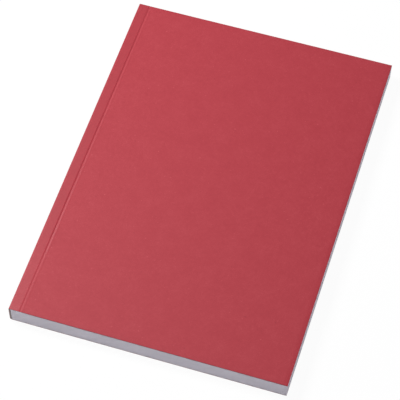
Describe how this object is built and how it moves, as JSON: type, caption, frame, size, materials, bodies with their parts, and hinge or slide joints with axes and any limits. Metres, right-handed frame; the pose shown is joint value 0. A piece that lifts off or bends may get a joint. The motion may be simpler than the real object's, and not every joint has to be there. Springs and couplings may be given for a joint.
{
  "type": "softcover notebook",
  "caption": "Perfect-bound softcover notebook: a flush-trimmed block of plain leaves in a red card cover that opens at hinge creases along the spine.",
  "frame": {"origin": "middle of the closed book's footprint, on the underside of the back cover", "axes": "+X from the spine to the fore-edge, +Y from the tail to the head, +Z from the back cover up to the front cover"},
  "size_m": [0.148, 0.21, 0.0106],
  "materials": {
    "cover_card": "matte",
    "leaf_paper": "matte",
    "binding_glue": "satin"
  },
  "bodies": {
    "book": {"page_block": "leaf_paper", "spine_adhesive": "binding_glue", "spine_wrap": "cover_card"},
    "front_cover": {"front_cover": "cover_card"},
    "back_cover": {"back_cover": "cover_card"}
  },
  "joints": [
    {"name": "front_cover_hinge", "type": "hinge", "parent": "book", "child": "front_cover", "pos_m": [-0.0676, 0, 0.0106], "axis": [0, -1, 0], "range_deg": [0, 180]},
    {"name": "back_cover_hinge", "type": "hinge", "parent": "book", "child": "back_cover", "pos_m": [-0.0676, 0, 0], "axis": [0, 1, 0], "range_deg": [0, 180]}
  ]
}
